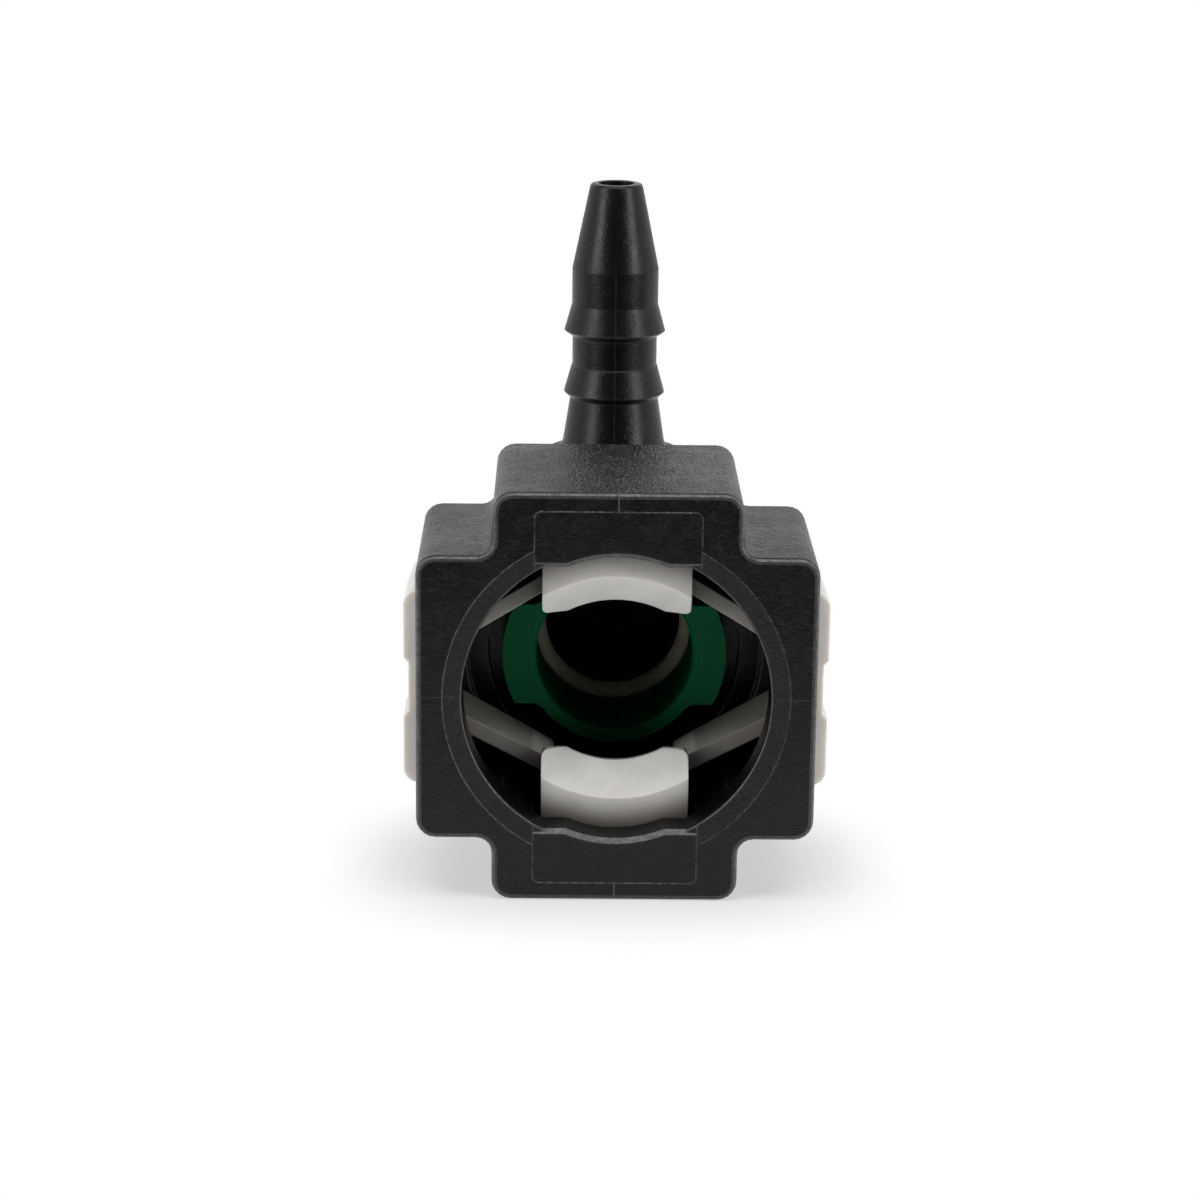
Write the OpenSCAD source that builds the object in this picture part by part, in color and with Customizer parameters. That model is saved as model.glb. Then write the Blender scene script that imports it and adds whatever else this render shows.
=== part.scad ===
// Elbow quick connector for a fuel line, with a squeeze-to-release retainer.
// The tube axis is Y and the tube enters from the front, which faces -Y.
// The hose stem points up, +Z. The origin is on the tube axis, at the mouth of the bush.

/* [Head] */
// Width of the head over its side blocks
head_w = 24.7; // [24:0.1:26]
// Height of the head over its upper and lower blocks
head_h = 26.1; // [25.6:0.1:28]
// Depth of the head from the front face to the back face
head_depth = 14.1; // [13.8:0.1:16]
// Height of the side blocks, which hold the buttons
side_block_h = 18.1; // [17:0.1:20]
// Width of the upper and lower blocks, which hold the jaws
jaw_block_w = 15.3; // [14.5:0.1:17]
// Radius of the head's outer corners, seen from the front
corner_r = 1.2; // [0.8:0.1:1.8]
// Radius in the head's inner corners, seen from the front
inner_corner_r = 1.0; // [0.6:0.1:1.4]
// Rounding of the edges round the front and back faces
edge_r = 0.35; // [0.2:0.05:0.6]

/* [Retainer chamber] */
// Diameter of the round opening in the front face
chamber_d = 19; // [18.6:0.1:19.4]
// Depth of the chamber's floor below the front face
chamber_depth = 11.6; // [11.3:0.1:12.4]
// Rounding of the opening's front edge
lip_r = 0.4; // [0.1:0.05:0.5]
// Diameter of the shallow sloped rim round the opening
rim_d = 21.5; // [20.5:0.1:22.5]
// Depth of the sloped rim at the opening
rim_depth = 0.15; // [0.05:0.05:0.3]
// Thickness of the front wall, ahead of the jaws and buttons
front_wall = 2.35; // [2:0.05:2.8]
// Width of the two front tabs that cover the jaw slots
tab_w = 10.2; // [9.8:0.1:11]
// Distance between the straight edges of the two tabs
tab_gap = 16.8; // [16:0.1:17.2]
// Chamfer of the tabs' front edges
tab_chamfer = 0.3; // [0.1:0.05:0.5]
// Width of the shallow arch in each tab's edge
tab_arch_w = 6.1; // [5:0.1:7]
// Height of the shallow arch in each tab's edge
tab_arch_h = 0.62; // [0.3:0.02:0.8]
// Thickness of the wall beyond the outer end of each jaw slot
slot_wall = 1.15; // [0.9:0.05:1.4]

/* [Retainer] */
// Distance over the outer faces of the two buttons
button_span = 26.4; // [26.2:0.1:27.4]
// Height of each button
button_h = 12.4; // [11.6:0.1:13]
// Rounding of each button's outer corners
button_corner_r = 0.9; // [0.4:0.1:1.2]
// Depth of the finger dip in the middle of each button
button_dip = 0.3; // [0.1:0.05:0.5]
// Height of the finger dip in the middle of each button
button_dip_h = 3.2; // [2.4:0.1:4]
// How far each button's outer face slopes in towards the back
button_taper = 0.4; // [0.2:0.05:0.6]
// Length of the level part of each button's outer face, from its front
button_level_l = 3.4; // [2.6:0.1:4.4]
// Front-to-back depth of the buttons and jaws
retainer_depth = 7.4; // [7:0.1:8]
// Width of each jaw
jaw_w = 9.24; // [8.8:0.02:9.5]
// Room beyond each jaw's outer end, for it to slide out
jaw_room = 1.6; // [1.4:0.1:1.8]
// Distance between the flats of the two jaws
jaw_flat_gap = 8.9; // [8.8:0.05:9.2]
// Width of the arch between a jaw's two flats
jaw_arch_w = 6.1; // [5.4:0.1:6.6]
// Height of the arch above a jaw's two flats
jaw_arch_h = 0.8; // [0.7:0.02:1]
// Distance between the two jaws' front faces, where the middles of their lead-in slopes begin
lead_in_gap = 14.4; // [13.8:0.1:14.8]
// Depth of the jaws' lead-in slopes
lead_in_depth = 1.8; // [1.5:0.1:2.2]
// Radius of the hollow across the jaws' lead-in slopes
lead_in_r = 12; // [10:0.5:14]
// Thickness of a jaw's latching crest, from the lead-in slope to the latch face
crest_t = 0.3; // [0.2:0.1:1]
// Diameter of the space behind the crests for the bead of the tube
bead_space_d = 13.8; // [13:0.1:13.8]
// Thickness of each arm
arm_t = 0.95; // [0.8:0.05:1.1]
// How far the arms' front edges step back towards the jaws
arm_setback = 1; // [0.5:0.1:1.5]
// Distance between the arms' bending lines at the jaws, left to right
arm_jaw_x = 8.6; // [8.2:0.1:8.8]
// Distance between the arms' bending lines at the jaws, top to bottom
arm_jaw_z = 12.1; // [11.8:0.1:12.3]
// Distance from each button's outer face in to its arms' bending lines
arm_inset = 2.8; // [2.6:0.1:3]
// Distance between the arms' bending lines at the buttons, top to bottom
arm_button_z = 5.1; // [4.8:0.1:5.4]

/* [Bush and seals] */
// Depth below the front face at which the bush's straight bore begins
mouth_depth = 10.3; // [10.2:0.1:10.8]
// Bore of the bush, which guides the tube
bush_bore_d = 10.1; // [9.9:0.05:10.3]
// Length of the bush's straight bore
bush_l = 6; // [5.6:0.1:7]
// Depth of the chamfer at the bush's mouth, ahead of the straight bore
mouth_chamfer = 0.25; // [0.1:0.05:0.4]
// Diameter of the bush's round front, ahead of its seat
bush_front_d = 11.7; // [11.5:0.1:12]
// Diameter over the bush's two lobes
lobe_d = 14.4; // [13.6:0.1:15]
// Height of each lobe
lobe_h = 6.6; // [6:0.1:8]
// Radius of the hollow fillet between each lobe and the bush's round front
lobe_fillet_r = 1.2; // [0.6:0.1:1.4]
// Diameter of the recess that the lobes turn in
recess_d = 16.3; // [15.6:0.1:16.6]
// Depth of the recess below the chamber's floor
recess_depth = 1.7; // [1.4:0.1:1.9]
// Diameter of the bore that holds the bush and the seals
seal_bore_d = 12.3; // [12.1:0.05:12.7]
// Bore of the backing ring and of the spacer
ring_bore_d = 10.5; // [10.4:0.05:10.8]
// Length of the backing ring behind the bush
backing_ring_l = 1.7; // [1.4:0.1:2.2]
// Inner diameter of the two O-rings
o_ring_inner_d = 8.9; // [8.7:0.05:9.1]
// Length of the spacer between the two O-rings
spacer_l = 1.2; // [1:0.1:1.8]
// Diameter of the bore that centres the tube's tip
pilot_d = 9.6; // [9.5:0.05:9.8]
// Length of the bore that centres the tube's tip
pilot_l = 2; // [1.6:0.1:2.4]

/* [Elbow and stem] */
// Outer diameter of the neck round the seals
neck_d = 15.6; // [15.2:0.1:16.4]
// Outer diameter of the elbow's barrel behind the neck
barrel_d = 10.4; // [9.8:0.1:11]
// Outer diameter of the riser under the stem
riser_d = 9.4; // [9.2:0.1:9.8]
// Height of the riser's top above the tube axis
riser_h = 10; // [9.4:0.1:10.4]
// Distance from the end of the tube bore to the stem's axis
stem_offset = 1.4; // [1:0.1:1.6]
// Diameter of the short waterway behind the tube bore
waterway_d = 4; // [3.4:0.1:4.4]
// Bore of the stem
stem_bore_d = 2.4; // [2:0.1:3]
// Height of the stem's tip above the tube axis
stem_top = 28.2; // [27:0.1:32]
// Diameter of the stem's tip
tip_d = 3.56; // [3.4:0.02:4]
// Rounding of the tip's edge
tip_r = 0.25; // [0.1:0.05:0.4]
// Length of the tip's lead-in cone
tip_cone_l = 5.7; // [5:0.1:6.4]
// Diameter of the stem under the lead-in cone
shoulder_d = 5.8; // [5.6:0.1:6.2]
// Diameter of the stem between the barbs
shank_d = 5.7; // [5.4:0.1:5.8]
// Diameter of the barbs' sharp edges
barb_d = 6.8; // [6.4:0.1:7]
// Height of each barb's slope
barb_l = 1.8; // [1.5:0.1:2.1]
// Height of the undercut beneath each barb's sharp edge
barb_under_l = 0.4; // [0.2:0.05:0.6]
// Distance from the tip to the first barb's slope
barb_start = 8.1; // [7.8:0.1:8.6]
// Distance from one barb to the next
barb_pitch = 4.2; // [3.8:0.1:4.4]
// Diameter of the stem under the lower barb
foot_top_d = 5.95; // [5.8:0.05:6.2]
// Diameter of the stem's foot, above the riser
foot_d = 6.85; // [6.5:0.05:7]
// Radius of the hollow fillet between the stem's foot and the riser's top
fillet_r = 0.8; // [0.3:0.1:0.9]

/* [Clearances] */
// Gap round the jaws and buttons, where they slide in the head
slide_gap = 0.2; // [0.15:0.05:0.3]
// Gap round the arms' ends, in the jaws and buttons
flex_gap = 0.12; // [0.1:0.01:0.16]
// Gap between the seal parts and their bore
seal_gap = 0.05; // [0.03:0.01:0.08]

/* [Hidden] */
$fn = 72;
// Steps in a quarter turn of a small rounded edge
edge_steps = 3;
// Steps in a quarter turn of the head's corners
corner_steps = 5;
// Overlap that keeps cuts and joined solids free of shared faces
eps = 0.01;

// Distances over the jaw slots and the jaws, and between the arms' bending lines at the buttons
slot_span = head_h - 2 * slot_wall;
jaw_span = slot_span - 2 * jaw_room;
arm_button_x = button_span - 2 * arm_inset;

// Planes along the tube axis, from front to back
front_y = -mouth_depth;
floor_y = front_y + chamber_depth;
head_back_y = front_y + head_depth;
recess_y = floor_y + recess_depth;
retainer_front_y = front_y + front_wall + slide_gap;
retainer_back_y = retainer_front_y + retainer_depth;
crest_y = retainer_front_y + lead_in_depth;
latch_y = crest_y + crest_t;
arm_front_y = latch_y + flex_gap;
pocket_back_y = retainer_back_y + 2 * slide_gap;
front_o_ring_y = bush_l + backing_ring_l;
o_ring_t = (seal_bore_d - o_ring_inner_d) / 2 - seal_gap;
spacer_y = front_o_ring_y + o_ring_t;
rear_o_ring_y = spacer_y + spacer_l;
pilot_y = rear_o_ring_y + o_ring_t;
pilot_end_y = pilot_y + pilot_l;
stem_y = pilot_end_y + stem_offset;

// A cylinder along Y from y1 to y2, with its axis at height z
module rod_y(d, y1, y2, z = 0) {
    translate([0, y1, z]) rotate([-90, 0, 0]) cylinder(d = d, h = y2 - y1);
}

// A cone along Y, d1 wide at y1 and d2 wide at y2
module cone_y(d1, d2, y1, y2) {
    translate([0, y1, 0]) rotate([-90, 0, 0]) cylinder(d1 = d1, d2 = d2, h = y2 - y1);
}

// A box from one corner to the other
module span_box(low, high) {
    translate(low) cube(high - low);
}

// A wedge of width w along X, below the slope that falls from p1 to p2, each given as [y, z]
module slope_x(w, p1, p2) {
    rotate([90, 0, 90]) linear_extrude(w, center = true) polygon([p1, [p1.x, p2.y], p2]);
}

// Raises a drawing of X and Z from y1 to y2
module raise_y(y1, y2) {
    translate([0, y2, 0]) rotate([90, 0, 0]) linear_extrude(y2 - y1) children();
}

// Shows the children and their mirror image below the tube axis
module both_ends() {
    children();
    mirror([0, 0, 1]) children();
}

// Shows the children and their mirror image across the middle plane
module both_sides() {
    children();
    mirror([1, 0, 0]) children();
}

// A rectangle from [x1, z1] to [x2, z2] with round corners
module round_rect(x1, z1, x2, z2, r) {
    translate([x1 + r, z1]) square([x2 - x1 - 2 * r, z2 - z1]);
    translate([x1, z1 + r]) square([x2 - x1, z2 - z1 - 2 * r]);
    for (x = [x1 + r, x2 - r], z = [z1 + r, z2 - r]) translate([x, z]) circle(r);
}

// Radius of the circle through an arch of width w and height h
function arch_r(w, h) = (w * w / 4 + h * h) / (2 * h);

// A cylinder along Y whose top is an arch, w wide and h high, standing on height z
module arch_rod(w, h, z, y1, y2) {
    rod_y(2 * arch_r(w, h), y1, y2, z + h - arch_r(w, h));
}

// A quarter turn of a rounded edge of radius r: how far each point lies in from the two faces
function edge_arc(r) = [for (i = [0:edge_steps])
    let (a = 90 * i / edge_steps) [r * (1 - sin(a)), r * (1 - cos(a))]];

// One rounded corner of the head's outline. side is 1 where the outline bulges and -1 where it
// is hollow, and the arc turns by a quarter from angle a.
function corner_arc(cx, cz, r, a, side) = [for (i = [0:corner_steps])
    let (t = a + side * 90 * i / corner_steps) [cx + r * cos(t), cz + r * sin(t)]];

// A quarter of the plus-shaped outline, set in by d, from the right side to the top
function plus_quarter(d) = let (
        ro = corner_r - d, ri = inner_corner_r + d,
        sx = head_w / 2 - corner_r, sz = side_block_h / 2 - corner_r,
        bx = jaw_block_w / 2 + inner_corner_r, bz = side_block_h / 2 + inner_corner_r,
        tx = jaw_block_w / 2 - corner_r, tz = head_h / 2 - corner_r)
    concat(corner_arc(sx, sz, ro, 0, 1), corner_arc(bx, bz, ri, 270, -1),
        corner_arc(tx, tz, ro, 0, 1));

function mirror_x(p) = [for (i = [len(p) - 1:-1:0]) [-p[i].x, p[i].y]];
function turned(p) = [for (q = p) -q];
function plus_outline(d) = let (q = plus_quarter(d), h = concat(q, mirror_x(q))) concat(h, turned(h));

// The head's outside: a plus-shaped bar whose front and back edges are rounded
module head_block() {
    n = len(plus_outline(0));
    front = edge_arc(edge_r);
    back = [for (i = [edge_steps:-1:0]) [front[i].x, head_depth - front[i].y]];
    rings = concat(front, back);
    last = len(rings) - 1;
    edge_points = [for (r = rings) for (p = plus_outline(r.x)) [p.x, front_y + r.y, p.y]];
    middles = [[0, front_y, 0], [0, head_back_y, 0]];
    m = len(edge_points);
    walls = [for (k = [0:last - 1]) for (i = [0:n - 1])
        let (j = (i + 1) % n) [k * n + i, k * n + j, (k + 1) * n + j, (k + 1) * n + i]];
    front_cap = [for (i = [0:n - 1]) [m, (i + 1) % n, i]];
    back_cap = [for (i = [0:n - 1]) [m + 1, last * n + i, last * n + (i + 1) % n]];
    polyhedron(concat(edge_points, middles), concat(walls, front_cap, back_cap));
}

// Neck round the seals, and the elbow's barrel with its domed end
module neck_and_barrel() {
    neck_r = neck_d / 2;
    barrel_r = barrel_d / 2;
    neck_end_y = pilot_y + (neck_d - seal_bore_d) / 2;
    chamfer = (neck_r - barrel_r) / 2;
    rotate([-90, 0, 0]) rotate_extrude() {
        translate([0, recess_y]) square([neck_r, neck_end_y - chamfer - recess_y]);
        polygon([[0, recess_y], [neck_r, neck_end_y - chamfer],
            [neck_r - chamfer, neck_end_y], [0, neck_end_y]]);
        translate([0, recess_y]) square([barrel_r, stem_y - recess_y]);
        intersection() {
            translate([0, stem_y]) circle(barrel_r);
            translate([0, stem_y]) square(barrel_r);
        }
    }
}

// Riser that carries the stem, and stops the hose with its round-edged top
module riser() {
    r = riser_d / 2;
    translate([0, stem_y, 0]) rotate_extrude() {
        square([r, riser_h - edge_r]);
        square([r - edge_r, riser_h]);
        translate([r - edge_r, riser_h - edge_r]) circle(edge_r);
    }
}

// The barbed hose stem, turned about its own axis. Its outline runs from the foot up to the tip.
module stem() {
    r_end = tip_d / 2;
    r_shoulder = shoulder_d / 2;
    r_shank = shank_d / 2;
    r_barb = barb_d / 2;
    r_foot = foot_d / 2;
    relief_l = (shoulder_d - shank_d) / 2;
    z1 = stem_top - barb_start;
    z2 = z1 - barb_pitch;
    fillet = [for (p = edge_arc(fillet_r)) [r_foot + p.x, riser_h + p.y]];
    lower_barb = [[foot_top_d / 2, z2 - barb_l - barb_under_l], [r_barb, z2 - barb_l],
        [r_shoulder, z2], [r_shank, z2 + relief_l]];
    upper_barb = [[r_shank, z1 - barb_l - barb_under_l], [r_barb, z1 - barb_l], [r_shoulder, z1]];
    tip = [for (p = edge_arc(tip_r)) [r_end - p.y, stem_top - p.x]];
    translate([0, stem_y, 0]) rotate_extrude() polygon(concat(
        [[0, riser_h - 1], [r_foot + fillet_r, riser_h - 1]], fillet, lower_barb, upper_barb,
        [[r_shoulder, stem_top - tip_cone_l]], tip, [[0, stem_top]]));
}

// The round opening of the chamber, with its rounded front edge and sloped rim
module chamber_cut() {
    r = chamber_d / 2;
    arc = [for (p = edge_arc(lip_r)) [r + p.x, p.y]];
    difference() {
        union() {
            translate([0, front_y, 0]) rotate([-90, 0, 0]) rotate_extrude() polygon(concat(
                [[0, -1], [r + lip_r, -1]], arc, [[r, chamber_depth], [0, chamber_depth]]));
            translate([0, front_y, 0]) rotate([-90, 0, 0]) rotate_extrude() polygon([
                [0, -1], [rim_d / 2, -1], [rim_d / 2, 0], [r, rim_depth], [0, rim_depth]]);
        }
        both_ends() tab();
    }
}

// One tab that covers the outer end of a jaw slot, with an arched and chamfered edge
module tab() {
    z = tab_gap / 2;
    r = arch_r(tab_arch_w, tab_arch_h);
    y1 = front_y - 1;
    y2 = front_y + front_wall;
    r1 = r + tab_chamfer + 1;
    difference() {
        span_box([-tab_w / 2, y1, z], [tab_w / 2, y2, head_h / 2]);
        arch_rod(tab_arch_w, tab_arch_h, z, y1 - 1, y2 + 1);
        translate([0, 0, z + tab_arch_h - r]) cone_y(2 * (r1 + 1), 2 * (r - 1), y1 - 1, y1 + r1 - r + 1);
        slope_x(2 * tab_w, [y1 - 1, z + tab_chamfer + 2], [front_y + tab_chamfer + 1, z - 1]);
    }
}

// The slots that the jaws slide out in, and the side windows of the buttons
module retainer_pockets() {
    y1 = front_y + front_wall;
    span_box([-tab_w / 2, y1, -slot_span / 2], [tab_w / 2, pocket_back_y, slot_span / 2]);
    window_h = button_h + 2 * slide_gap;
    span_box([-head_w, y1, -window_h / 2], [head_w, pocket_back_y, window_h / 2]);
}

// The one-piece moulded body: head, seal bore, elbow and barbed stem
module housing() {
    color("#26272a") difference() {
        union() {
            head_block();
            neck_and_barrel();
            riser();
            stem();
        }
        chamber_cut();
        retainer_pockets();
        rod_y(recess_d, floor_y - eps, recess_y);
        rod_y(seal_bore_d, recess_y - eps, pilot_y);
        rod_y(pilot_d, pilot_y - eps, pilot_end_y);
        rod_y(waterway_d, pilot_end_y - eps, stem_y + waterway_d / 2);
        translate([0, stem_y, 0]) cylinder(d = stem_bore_d, h = stem_top + 1);
    }
}

// The fillet below the right lobe, where it joins the bush's round front
module lobe_fillet() {
    r = bush_front_d / 2;
    z = -lobe_h / 2 - lobe_fillet_r;
    x = sqrt(pow(r + lobe_fillet_r, 2) - z * z);
    root = (r - lobe_fillet_r) / (r + lobe_fillet_r);
    raise_y(-mouth_chamfer, recess_y) difference() {
        polygon([[x, z], [x, z + 2 * lobe_fillet_r], root * [x, z]]);
        translate([x, z]) circle(lobe_fillet_r + eps);
    }
}

// The coloured bush that holds the seals in and guides the tube, with two side lobes
module retaining_bush() {
    color("#0d4a2c") difference() {
        union() {
            rod_y(bush_front_d, -mouth_chamfer, bush_l - 1);
            rod_y(seal_bore_d - 2 * seal_gap, recess_y - recess_depth / 2, bush_l);
            intersection() {
                rod_y(lobe_d, -mouth_chamfer, recess_y);
                span_box([-lobe_d, -1, -lobe_h / 2], [lobe_d, recess_y + 1, lobe_h / 2]);
            }
            both_ends() both_sides() lobe_fillet();
        }
        rod_y(bush_bore_d, -1, bush_l + 1);
        cone_y(bush_bore_d + 2 * mouth_chamfer + 2 * eps, bush_bore_d, -mouth_chamfer - eps, 0);
    }
}

// A plain ring of the seal stack, from y1 to y2
module seal_ring(y1, y2) {
    difference() {
        rod_y(seal_bore_d - 2 * seal_gap, y1, y2);
        rod_y(ring_bore_d, y1 - 1, y2 + 1);
    }
}

module backing_ring() {
    color("#5a5347") seal_ring(bush_l, front_o_ring_y);
}

module spacer_ring() {
    color("#5a5347") seal_ring(spacer_y, rear_o_ring_y);
}

// An O-ring that starts at y, in its seated shape
module o_ring(y) {
    translate([0, y + o_ring_t / 2, 0]) rotate([-90, 0, 0])
        rotate_extrude() translate([(o_ring_inner_d + o_ring_t) / 2, 0]) circle(d = o_ring_t);
}

module front_o_ring() {
    color("#6f6a60") o_ring(front_o_ring_y);
}

module rear_o_ring() {
    color("#1c1c1c") o_ring(rear_o_ring_y);
}

// The clearance that an arm's round end needs, at the bending line [x, z]
module arm_seat(x, z) {
    translate([x, 0, 0]) rod_y(arm_t + 2 * flex_gap, arm_front_y - flex_gap, retainer_back_y + 1, z);
}

// One button on the right: the pad that a finger squeezes, with seats for its two arms
module button() {
    x1 = arm_button_x / 2 + flex_gap;
    x2 = button_span / 2;
    dip_z = button_dip_h / 2;
    dip_slope = 1 + button_dip;
    color("#d9d4c8") difference() {
        raise_y(retainer_front_y, retainer_back_y) difference() {
            union() {
                round_rect(x1, -button_h / 2, x2, button_h / 2, button_corner_r);
                translate([x1, -button_h / 2]) square([button_corner_r, button_h]);
            }
            polygon([[x2 + 1, dip_z + dip_slope], [x2 - button_dip, dip_z],
                [x2 - button_dip, -dip_z], [x2 + 1, -dip_z - dip_slope]]);
        }
        both_ends() arm_seat(arm_button_x / 2, arm_button_z / 2);
        translate([0, 0, -button_h]) linear_extrude(2 * button_h) polygon([
            [x2, retainer_front_y + button_level_l], [x2 + 1, retainer_front_y + button_level_l],
            [x2 + 1, retainer_back_y + 1], [x2 - button_taper, retainer_back_y + 1],
            [x2 - button_taper, retainer_back_y]]);
    }
}

module right_button() {
    button();
}

module left_button() {
    mirror([1, 0, 0]) button();
}

// The upper jaw: a hook with a hollow lead-in slope in front, and a broad back that the arms push
module jaw() {
    flat_z = jaw_flat_gap / 2;
    top_z = jaw_span / 2;
    crown_z = flat_z + jaw_arch_h;
    slope = atan2(lead_in_gap / 2 - crown_z, lead_in_depth);
    color("#d9d4c8") difference() {
        union() {
            raise_y(retainer_front_y, latch_y)
                round_rect(-jaw_w / 2, flat_z, jaw_w / 2, top_z, corner_r / 3);
            span_box([-jaw_w / 2, latch_y - eps, arm_jaw_z / 2], [jaw_w / 2, retainer_back_y, top_z]);
        }
        arch_rod(jaw_arch_w, jaw_arch_h, flat_z, retainer_front_y - 1, latch_y + 1);
        translate([0, crest_y, crown_z]) rotate([90 - slope, 0, 0]) translate([0, -lead_in_r, 0])
            cylinder(r = lead_in_r, h = 4 * retainer_depth, center = true);
        rod_y(bead_space_d, latch_y, retainer_back_y + 1);
        both_sides() arm_seat(arm_jaw_x / 2, arm_jaw_z / 2);
    }
}

module upper_jaw() {
    jaw();
}

module lower_jaw() {
    mirror([0, 0, 1]) jaw();
}

// The upper right arm: a flat spring bar from the jaw's bending line to the button's
module arm() {
    dx = (arm_button_x - arm_jaw_x) / 2;
    dz = (arm_button_z - arm_jaw_z) / 2;
    reach = norm([dx, dz]);
    color("#d0cbbf") difference() {
        raise_y(arm_front_y, retainer_back_y)
            translate([arm_jaw_x / 2, arm_jaw_z / 2]) rotate(atan2(dz, dx)) {
                translate([0, -arm_t / 2]) square([reach, arm_t]);
                circle(d = arm_t);
                translate([reach, 0]) circle(d = arm_t);
            }
        linear_extrude(arm_jaw_z) polygon([[0, arm_front_y - 1], [0, arm_front_y + arm_setback],
            [arm_jaw_x / 2, arm_front_y + arm_setback], [arm_button_x / 2, arm_front_y - eps],
            [arm_button_x / 2, arm_front_y - 1]]);
    }
}

module upper_right_arm() {
    arm();
}

module upper_left_arm() {
    mirror([1, 0, 0]) arm();
}

module lower_right_arm() {
    mirror([0, 0, 1]) arm();
}

module lower_left_arm() {
    mirror([1, 0, 0]) mirror([0, 0, 1]) arm();
}

housing();
retaining_bush();
backing_ring();
front_o_ring();
spacer_ring();
rear_o_ring();
left_button();
right_button();
upper_jaw();
lower_jaw();
upper_left_arm();
upper_right_arm();
lower_left_arm();
lower_right_arm();
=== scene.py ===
"""Looks for the elbow quick connector: materials, studio light, floor and camera.

The solids come from the frame and keep their shapes. Each gets a procedural material here, and the
scene adds a floor, a world, three lamps and a camera at the place that the photograph was taken from.
"""

import math

import bpy
from mathutils import Matrix, Vector

MM = 0.001

# Places on the part that the looks follow, in millimetres. The head's front face looks along -Y.
HEAD_FRONT = -10.3
HEAD_BACK = 3.8
HEAD_TOP = 13.05
HEAD_BOTTOM = -13.05
RISER_TOP = 10.0
CHAMBER_RADIUS = 9.5
CHAMBER_BACK = 3.2
JAW_SIDE = 5.1
WINDOW_MOUTH = 12.2

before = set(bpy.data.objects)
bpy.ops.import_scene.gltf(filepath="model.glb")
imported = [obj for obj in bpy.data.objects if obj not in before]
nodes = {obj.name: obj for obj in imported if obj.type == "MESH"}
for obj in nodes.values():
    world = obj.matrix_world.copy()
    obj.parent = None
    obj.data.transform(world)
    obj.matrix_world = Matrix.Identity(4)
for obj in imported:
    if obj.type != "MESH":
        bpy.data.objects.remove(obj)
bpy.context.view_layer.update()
scene = bpy.context.scene


# Shader building

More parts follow.
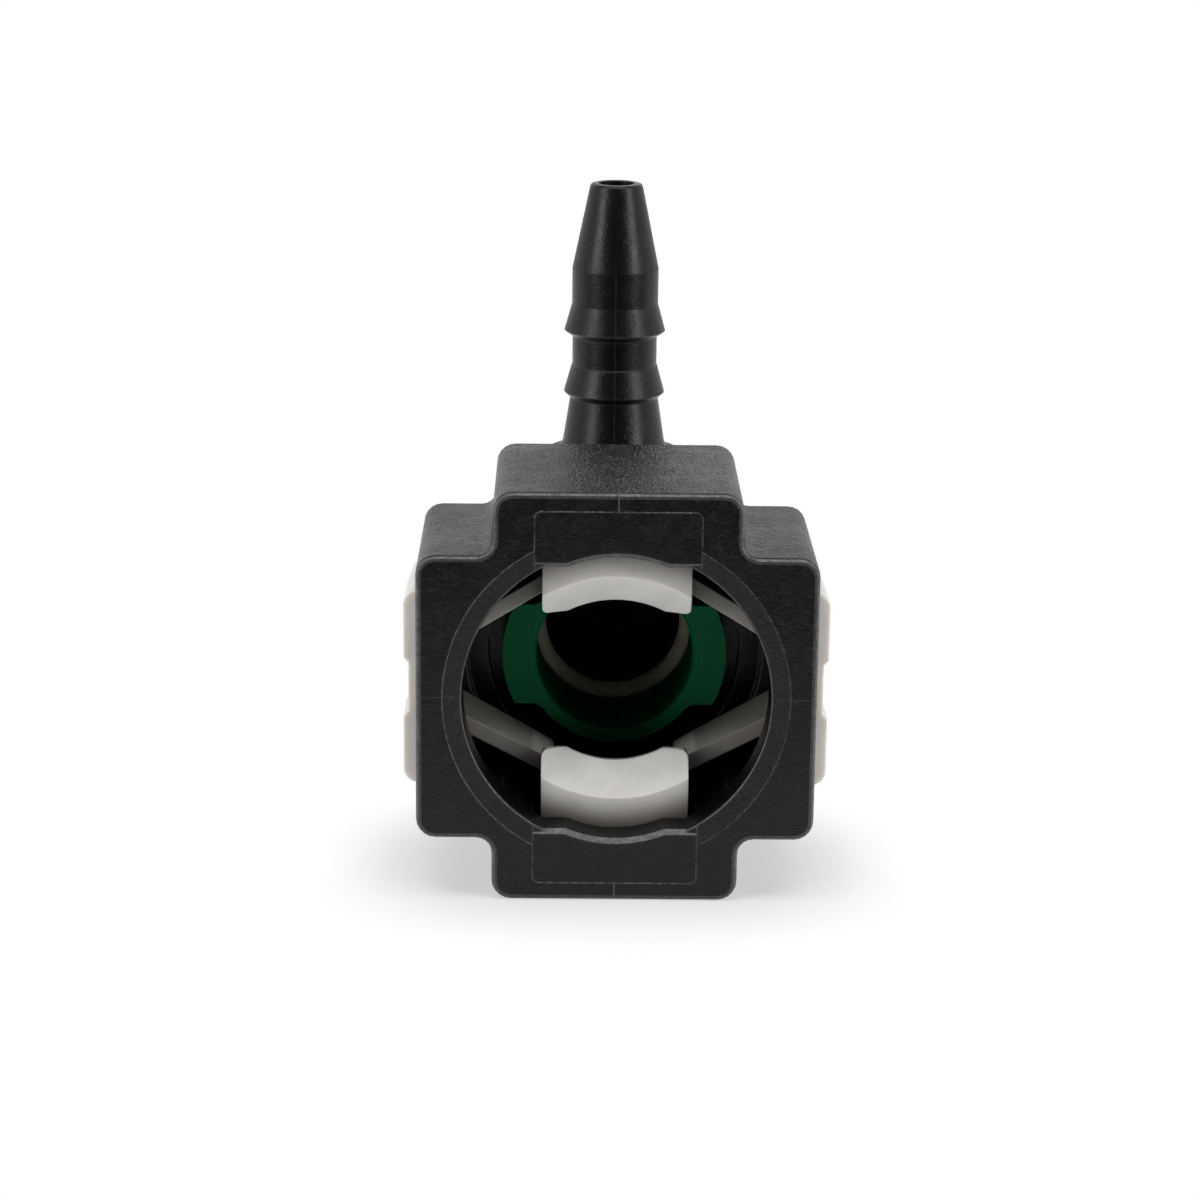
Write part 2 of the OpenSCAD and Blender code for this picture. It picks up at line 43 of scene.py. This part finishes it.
class Shader:
    """The node tree of a material or a world, with short calls for the nodes used here."""

    def __init__(self, owner):
        owner.use_nodes = True
        self.owner = owner
        self.tree = owner.node_tree

    def add(self, kind, **values):
        """A node of that kind. A lower-case name is a setting of the node, and any other an input."""
        node = self.tree.nodes.new(kind)
        for name, value in values.items():
            if name[0].islower():
                setattr(node, name, value)
            else:
                self.put(node.inputs[name.replace("_", " ")], value)
        return node

    def put(self, socket, value):
        """Links a value that is a socket, and writes any other on the input."""
        if isinstance(value, bpy.types.NodeSocket):
            self.tree.links.new(value, socket)
        else:
            socket.default_value = value

    def surface(self, **values):
        """Sets inputs of the material's main shader."""
        bsdf = self.tree.nodes["Principled BSDF"]
        for name, value in values.items():
            self.put(bsdf.inputs[name.replace("_", " ")], value)
        return bsdf.outputs[0]

    # Numbers

    def math(self, operation, *terms):
        node = self.add("ShaderNodeMath", operation=operation)
        for socket, value in zip(node.inputs, terms):
            self.put(socket, value)
        return node.outputs[0]

    def plus(self, a, b):
        return self.math("ADD", a, b)

    def minus(self, a, b):
        return self.math("SUBTRACT", a, b)

    def times(self, a, b):
        return self.math("MULTIPLY", a, b)

    def larger(self, a, b):
        return self.math("MAXIMUM", a, b)

    def size(self, a):
        return self.math("ABSOLUTE", a)

    def distance(self, a, b):
        """How far the place (a, b) is from (0, 0)."""
        return self.math("SQRT", self.plus(self.math("POWER", a, 2.0), self.math("POWER", b, 2.0)))

    def remap(self, value, low, high, to_low, to_high):
        node = self.add("ShaderNodeMapRange", clamp=True, Value=value, From_Min=low, From_Max=high,
                        To_Min=to_low, To_Max=to_high)
        return node.outputs[0]

    def rise(self, value, low, high):
        """0 up to low and 1 from high on."""
        return self.remap(value, low, high, 0.0, 1.0)

    def fall(self, value, low, high):
        """1 up to low and 0 from high on."""
        return self.remap(value, low, high, 1.0, 0.0)

    def mix_value(self, share, a, b):
        node = self.add("ShaderNodeMix", data_type="FLOAT")
        for socket, value in zip(node.inputs[0:1] + node.inputs[2:4], (share, a, b)):
            self.put(socket, value)
        return node.outputs[0]

    def mix(self, share, a, b):
        """Mixes two colours."""
        node = self.add("ShaderNodeMix", data_type="RGBA")
        for socket, value in zip(node.inputs[0:1] + node.inputs[6:8], (share, a, b)):
            self.put(socket, value)
        return node.outputs[2]

    # Places and directions

    def position(self):
        """Places in the part's own frame, in millimetres."""
        coords = self.add("ShaderNodeTexCoord").outputs["Object"]
        scaled = self.add("ShaderNodeVectorMath", operation="SCALE", Scale=1 / MM)
        self.put(scaled.inputs[0], coords)
        return scaled.outputs[0]

    def stretched(self, where, factors):
        node = self.add("ShaderNodeVectorMath", operation="MULTIPLY")
        self.put(node.inputs[0], where)
        self.put(node.inputs[1], factors)
        return node.outputs[0]

    def split(self, where):
        """The X, Y and Z of a place."""
        return self.add("ShaderNodeSeparateXYZ", Vector=where).outputs[:3]

    def normal(self):
        return self.add("ShaderNodeNewGeometry").outputs["Normal"]

    # Patterns

    def noise(self, where, per_mm, detail=3.0, roughness=0.55, distortion=0.0):
        return self.add("ShaderNodeTexNoise", Vector=where, Scale=per_mm, Detail=detail,
                        Roughness=roughness, Distortion=distortion).outputs["Fac"]

    def ridges(self, value, width):
        """1 along the winding lines where a noise passes its middle value, and 0 away from them."""
        return self.fall(self.size(self.plus(value, -0.5)), 0.0, width)

    def line(self, away, half_width):
        """1 on a line and 0 beside it, from the distance to it."""
        return self.fall(self.size(away), half_width / 2, half_width)

    def bevel(self, radius):
        return self.add("ShaderNodeBevel", Radius=radius, samples=6).outputs[0]

    def bump(self, height, distance, strength, bevel_radius):
        node = self.add("ShaderNodeBump", Height=height, Distance=distance, Strength=strength)
        if bevel_radius:
            self.put(node.inputs["Normal"], self.bevel(bevel_radius))
        return node.outputs[0]

    def edge_wear_and_highlight(self, radius, where):
        """1 along sharp edges and 0 on open surfaces, broken up by noise as wear is. The paler tones
        laid on it are wear, and on the black nylon also painted highlight.
        """
        turn = self.add("ShaderNodeVectorMath", operation="DOT_PRODUCT")
        self.put(turn.inputs[0], self.bevel(radius))
        self.put(turn.inputs[1], self.normal())
        broken = self.remap(self.noise(where, 1.8), 0.35, 0.65, 0.4, 1.0)
        return self.times(self.fall(turn.outputs["Value"], 0.8, 0.995), broken)

    def hollows(self, reach):
        """0 in the open and up to 1 where other surfaces stand close, as in a crevice."""
        node = self.add("ShaderNodeAmbientOcclusion", Distance=reach, samples=6)
        return self.minus(1.0, node.outputs["AO"])

    def view_rays(self):
        """1 for the rays that look at things, straight or through glass, and 1 for glossy rays."""
        path = self.add("ShaderNodeLightPath").outputs
        return self.larger(path["Is Camera Ray"], path["Is Transmission Ray"]), path["Is Glossy Ray"]


def rgb(r, g, b):
    return (r, g, b, 1.0)


def grey(tone):
    return rgb(tone, tone, tone)


# The housing's black nylon

def mould_lines(s, where, x, y, z):
    """How plain the thin pale lines are that the mould left: the parting line in the middle plane,
    and, on the front face, the outline of a cover plate, a circle round the socket and a level line.
    The circle is paler on its left than on its right, which is painted highlight."""
    plate_side, plate_end, plate_corner = 5.1, 11.9, 0.4
    circle_radius = 10.72
    half_width = 0.05
    side, height = s.size(x), s.size(z)
    front = s.fall(y, HEAD_FRONT + 0.1, HEAD_FRONT + 0.3)

    in_x = s.plus(side, plate_corner - plate_side)
    in_z = s.plus(height, plate_corner - plate_end)
    beyond = s.distance(s.larger(in_x, 0.0), s.larger(in_z, 0.0))
    inside = s.math("MINIMUM", s.larger(in_x, in_z), 0.0)
    plate = s.line(s.plus(s.plus(beyond, inside), -plate_corner), half_width)
    plate = s.times(plate, s.remap(height, 11.4, 11.6, 0.55, 1.0))

    circle = s.line(s.plus(s.distance(x, z), -circle_radius), half_width)
    circle = s.times(circle, s.rise(side, plate_side, plate_side + 0.02))
    # The circle line is paler on its left than on its right: painted highlight.
    circle = s.times(circle, s.remap(x, -4.0, 9.0, 0.9, 0.4))

    level = s.times(s.line(s.plus(z, -0.1), 0.04), s.remap(side, 9.9, 9.95, 0.0, 0.3))
    flecks = s.remap(s.noise(where, 4.5, 2.0), 0.38, 0.62, 0.25, 1.0)
    on_face = s.times(s.times(s.larger(s.larger(plate, circle), level), front), flecks)

    above_plate = s.times(front, s.remap(height, plate_end, plate_end + 0.05, 0.0, 0.8))
    elsewhere = s.times(s.minus(1.0, front), s.remap(z, 22.4, 22.6, 0.12, 0.0))
    parting = s.times(s.line(x, half_width), s.plus(above_plate, elsewhere))
    return s.larger(on_face, parting)


def painted_edge_highlight(s, where, y):
    """1 along the rounded edges of the head's front and back faces, in flecks. The black nylon lays a
    painted highlight on it.
    """
    facing = s.size(s.split(s.normal())[1])
    turning = s.times(s.rise(facing, 0.25, 0.7), s.fall(facing, 0.92, 0.998))
    on_head = s.fall(y, HEAD_BACK + 0.05, HEAD_BACK + 0.1)
    flecks = s.remap(s.noise(where, 3.5), 0.35, 0.65, 0.5, 1.0)
    return s.times(s.times(turning, on_head), flecks)


def black_nylon():
    """Black moulded nylon. Its surface is a leathery grain of fine bumps and short worm-like ridges,
    shallower on the stem and in the chamber, with thin lines where the mould's parts met."""
    s = Shader(bpy.data.materials.new("black_nylon_grained"))
    where = s.position()
    x, y, z = s.split(where)

    above_riser = s.times(s.rise(y, HEAD_BACK + 0.1, HEAD_BACK + 0.2),
                          s.rise(z, RISER_TOP + 0.05, RISER_TOP + 0.3))
    on_stem = s.larger(above_riser, s.rise(z, HEAD_TOP + 0.05, HEAD_TOP + 0.35))
    in_chamber = s.times(s.fall(s.distance(x, z), CHAMBER_RADIUS + 0.05, CHAMBER_RADIUS + 0.1),
                         s.times(s.rise(y, HEAD_FRONT + 0.4, HEAD_FRONT + 0.5),
                                 s.fall(y, CHAMBER_BACK, CHAMBER_BACK + 0.1)))
    looks_up = s.rise(s.size(s.split(s.normal())[2]), 0.6, 0.95)
    # edges marks the head's rounded edges, where the tone below lays a painted highlight.
    edges = painted_edge_highlight(s, where, y)
    lines = mould_lines(s, where, x, y, z)

    # The grain's heights are in millimetres: on upright faces, on level faces and on the stem
    drawn = s.stretched(where, (1.0, 0.5, 1.0))
    bumps = s.noise(drawn, 5.2, 1.0, 0.5, 0.8)
    worms = s.ridges(s.noise(drawn, 3.5, 1.0, 0.5, 1.4), 0.09)
    worms = s.times(worms, s.remap(s.noise(where, 1.1, 2.0), 0.42, 0.58, 0.15, 1.0))
    worm_height = s.mix_value(on_stem, s.mix_value(looks_up, 0.009, 0.04), 0.004)
    bump_height = s.mix_value(on_stem, s.mix_value(looks_up, 0.046, 0.075), 0.012)
    relief = s.plus(s.times(worms, worm_height), s.times(bumps, bump_height))
    relief = s.times(relief, s.mix_value(in_chamber, s.minus(1.0, s.times(edges, 0.8)), 0.3))
    relief = s.plus(relief, s.times(lines, 0.03))

    broad = s.noise(where, 0.3, 2.0, 0.5)
    fine = s.noise(where, 13.0, 2.0, 0.5)
    wear_and_glint = s.times(s.edge_wear_and_highlight(0.35 * MM, where), s.remap(broad, 0.3, 0.7, 0.3, 1.0))
    tone = s.mix(worms, rgb(0.0024, 0.0025, 0.0027), rgb(0.0042, 0.0043, 0.0046))
    # Paler tone along sharp edges: partly wear, partly painted highlight.
    tone = s.mix(wear_and_glint, tone, rgb(0.05, 0.05, 0.051))
    # Paler tone along the head's rounded edges: painted highlight.
    tone = s.mix(edges, tone, rgb(0.1, 0.1, 0.102))
    tone = s.mix(lines, tone, rgb(0.085, 0.085, 0.087))
    roughness = s.plus(s.remap(fine, 0.3, 0.7, 0.28, 0.36), s.remap(broad, 0.3, 0.7, -0.03, 0.05))
    s.surface(Base_Color=tone, Roughness=s.mix_value(in_chamber, roughness, 0.24),
              Specular_IOR_Level=0.28, Normal=s.bump(relief, MM, 1.0, 0.12 * MM))
    return s.owner


# The other materials

def retainer_plastic():
    """Off-white acetal: translucent, satin, with faint flow marks. Painted brownish shade darkens it in
    the crevices, and painted dark shade deep in the chamber, most of all on the lower arms, but not
    outside the windows."""
    s = Shader(bpy.data.materials.new("retainer_acetal"))
    where = s.position()
    x, _, z = s.split(where)
    side = s.size(x)
    cloud = s.noise(where, 0.5, 3.0, 0.5)
    fine = s.noise(where, 9.0, 3.0, 0.6)
    tone = s.mix(s.rise(cloud, 0.35, 0.65), rgb(0.56, 0.547, 0.52), rgb(0.62, 0.607, 0.585))
    tone = s.mix(s.edge_wear_and_highlight(0.2 * MM, where), tone, rgb(0.67, 0.655, 0.632))

    indoors = s.fall(side, WINDOW_MOUTH - 0.6, WINDOW_MOUTH)
    # Painted shade: brownish in crevices, where other surfaces stand close.
    crevice = s.remap(s.hollows(1.6 * MM), 0.1, 0.6, 0.0, 0.9)
    # Painted shade deep in the chamber, made stronger on the lower arms.
    lower_arm_extra_shade = s.times(s.remap(z, -2.0, -1.5, 0.14, 0.0), s.rise(side, JAW_SIDE, JAW_SIDE + 0.2))
    deep = s.remap(s.plus(s.hollows(9.0 * MM), lower_arm_extra_shade), 0.18, 0.46, 0.0, 0.9)
    # Both darkenings below are painted shade, kept to inside the windows.
    tone = s.mix(s.times(indoors, crevice), tone, rgb(0.1, 0.075, 0.055))
    tone = s.mix(s.times(indoors, deep), tone, rgb(0.09, 0.08, 0.07))
    s.surface(Base_Color=tone, Roughness=s.remap(fine, 0.3, 0.7, 0.3, 0.42), Specular_IOR_Level=0.35,
              Subsurface_Weight=0.6, Subsurface_Radius=(1.0, 0.8, 0.62), Subsurface_Scale=0.9 * MM,
              Normal=s.bump(fine, 0.012 * MM, 0.7, 0.16 * MM))
    return s.owner


def green_plastic():
    """Dark green moulded bush, satin, with faint flow marks."""
    s = Shader(bpy.data.materials.new("bush_green"))
    where = s.position()
    fine = s.noise(where, 8.0, 3.0, 0.6)
    tone = s.mix(s.noise(where, 0.6, 3.0, 0.5), rgb(0.001, 0.07, 0.025), rgb(0.002, 0.1, 0.037))
    tone = s.mix(s.edge_wear_and_highlight(0.2 * MM, where), tone, rgb(0.01, 0.16, 0.065))
    s.surface(Base_Color=tone, Roughness=s.remap(fine, 0.3, 0.7, 0.38, 0.5), Specular_IOR_Level=0.07,
              Normal=s.bump(fine, 0.02 * MM, 0.7, 0.14 * MM))
    return s.owner


def ring_plastic():
    """Brown-grey backing ring and spacer."""
    s = Shader(bpy.data.materials.new("ring_plastic_brown"))
    fine = s.noise(s.position(), 7.0, 3.0, 0.6)
    s.surface(Base_Color=s.mix(fine, rgb(0.045, 0.036, 0.03), rgb(0.075, 0.062, 0.05)),
              Roughness=s.remap(fine, 0.3, 0.7, 0.42, 0.56), Specular_IOR_Level=0.3,
              Normal=s.bump(fine, 0.012 * MM, 0.7, 0.08 * MM))
    return s.owner


def o_ring_rubber(name, dark, pale):
    """Moulded rubber with a dry bloom."""
    s = Shader(bpy.data.materials.new(name))
    where = s.position()
    bloom = s.noise(where, 1.6, 4.0, 0.6)
    fine = s.noise(where, 11.0, 3.0, 0.6)
    s.surface(Base_Color=s.mix(s.rise(bloom, 0.35, 0.7), dark, pale),
              Roughness=s.remap(bloom, 0.3, 0.7, 0.45, 0.65), Specular_IOR_Level=0.3,
              Normal=s.bump(fine, 0.01 * MM, 0.7, None))
    return s.owner


def paint(material, *names):
    for name in names:
        mesh = nodes[name].data
        mesh.materials.clear()
        mesh.materials.append(material)


paint(black_nylon(), "housing")
paint(green_plastic(), "retaining_bush")
paint(ring_plastic(), "backing_ring", "spacer_ring")
# The front O-ring's grey is partly the rubber's own colour and partly painted light: it is made paler
# than the rubber to make up for the dark bore.
paint(o_ring_rubber("o_ring_rubber_painted_paler", rgb(0.42, 0.39, 0.33), rgb(0.55, 0.52, 0.45)), "front_o_ring")
paint(o_ring_rubber("o_ring_dark_rubber", grey(0.005), grey(0.012)), "rear_o_ring")
paint(retainer_plastic(), "left_button", "right_button", "upper_jaw", "lower_jaw",
      "upper_left_arm", "upper_right_arm", "lower_left_arm", "lower_right_arm")


# Camera

def make_camera():
    """A camera at the place and with the angles that were fitted to the photograph's edges."""
    pitch, yaw, roll = (math.radians(angle) for angle in (15.26, 0.67, 0.68))
    place = Vector((-3.34, -203.24, 59.04)) * MM
    ahead = Vector((math.sin(yaw) * math.cos(pitch), math.cos(yaw) * math.cos(pitch), -math.sin(pitch)))
    level = Vector((math.cos(yaw), -math.sin(yaw), 0))
    upright = level.cross(ahead)
    right = level * math.cos(roll) + upright * math.sin(roll)
    up = upright * math.cos(roll) - level * math.sin(roll)
    lens = bpy.data.cameras.new("camera")
    lens.sensor_width = 36.0
    lens.lens = 98.52
    lens.clip_start = 0.01
    lens.clip_end = 20.0
    camera = bpy.data.objects.new("camera", lens)
    camera.matrix_world = Matrix.Translation(place) @ Matrix((right, up, -ahead)).transposed().to_4x4()
    scene.collection.objects.link(camera)
    scene.camera = camera


# Floor, world and lamps

def make_floor():
    """A white floor. The camera sees it as white paper that keeps the object's soft shadow: real shadow
    in its lit share, and painted shadow that darkens its glowing share close to the object. Glossy rays
    see it fade into the dark studio in front."""
    half = 3.0
    z = HEAD_BOTTOM * MM
    mesh = bpy.data.meshes.new("floor")
    mesh.from_pydata([(-half, -half, z), (half, -half, z), (half, half, z), (-half, half, z)],
                     [], [(0, 1, 2, 3)])
    floor = bpy.data.objects.new("floor", mesh)
    scene.collection.objects.link(floor)

    s = Shader(bpy.data.materials.new("floor_white"))
    x, y, _ = s.split(s.position())
    apart = s.distance(x, s.plus(y, 3.0))
    seen, glossy = s.view_rays()
    far = s.times(glossy, s.times(s.rise(apart, 30.0, 80.0), s.fall(y, -20.0, 20.0)))
    tone = s.mix(seen, s.mix(far, grey(0.85), grey(0.03)), grey(0.75))
    lit = s.surface(Base_Color=tone, Roughness=0.9, Specular_IOR_Level=0.0)
    # Painted shadow: the glowing share of the floor darkens close to the object.
    contact_shade = s.rise(s.hollows(8.0 * MM), 0.02, 0.4)
    paper = s.add("ShaderNodeEmission", Color=s.mix(contact_shade, grey(1.0), grey(0.76))).outputs[0]
    share = s.times(seen, s.remap(apart, 11.0, 18.0, 0.7, 1.0))
    both = s.add("ShaderNodeMixShader")
    for socket, value in zip(both.inputs, (share, lit, paper)):
        s.put(socket, value)
    s.put(s.tree.nodes["Material Output"].inputs["Surface"], both.outputs[0])
    s.owner.cycles.emission_sampling = "NONE"
    mesh.materials.append(s.owner)


def make_world():
    """A studio with a white backdrop behind the object and dim air in front of it."""
    world = bpy.data.worlds.new("studio")
    scene.world = world
    s = Shader(world)
    world.cycles.sampling_method = "NONE"
    _, towards_back, upwards = s.split(s.add("ShaderNodeTexCoord").outputs["Generated"])
    seen, glossy = s.view_rays()
    lighting = s.remap(towards_back, -0.6, 0.05, 0.04, 0.85)
    mirrored = s.times(s.remap(towards_back, -0.55, -0.25, 0.03, 0.95),
                       s.remap(upwards, 0.35, 0.85, 1.0, 0.25))
    level = s.larger(s.mix_value(glossy, lighting, mirrored), seen)
    colour = s.add("ShaderNodeCombineColor", Red=level, Green=level, Blue=level).outputs[0]
    s.put(s.tree.nodes["Background"].inputs["Color"], colour)


def lamp(name, azimuth, elevation, width, height, watts):
    """A softbox that faces the object, at an azimuth that is 0 in front and 90 on the right."""
    light = bpy.data.lights.new(name, "AREA")
    light.shape = "RECTANGLE"
    light.size, light.size_y = width, height
    light.energy = watts
    softbox = bpy.data.objects.new(name, light)
    a, e = math.radians(azimuth), math.radians(elevation)
    away = Vector((math.sin(a) * math.cos(e), -math.cos(a) * math.cos(e), math.sin(e)))
    softbox.location = away * 0.45
    softbox.rotation_euler = (-away).to_track_quat("-Z", "Y").to_euler()
    scene.collection.objects.link(softbox)


make_camera()
make_floor()
make_world()
lamp("left_softbox", -57, 10, 0.14, 0.4, 1.2)
lamp("right_softbox", 57, 10, 0.14, 0.4, 1.2)
lamp("top_strip", 0, 77, 0.45, 0.16, 1.35)

scene.view_settings.view_transform = "Standard"
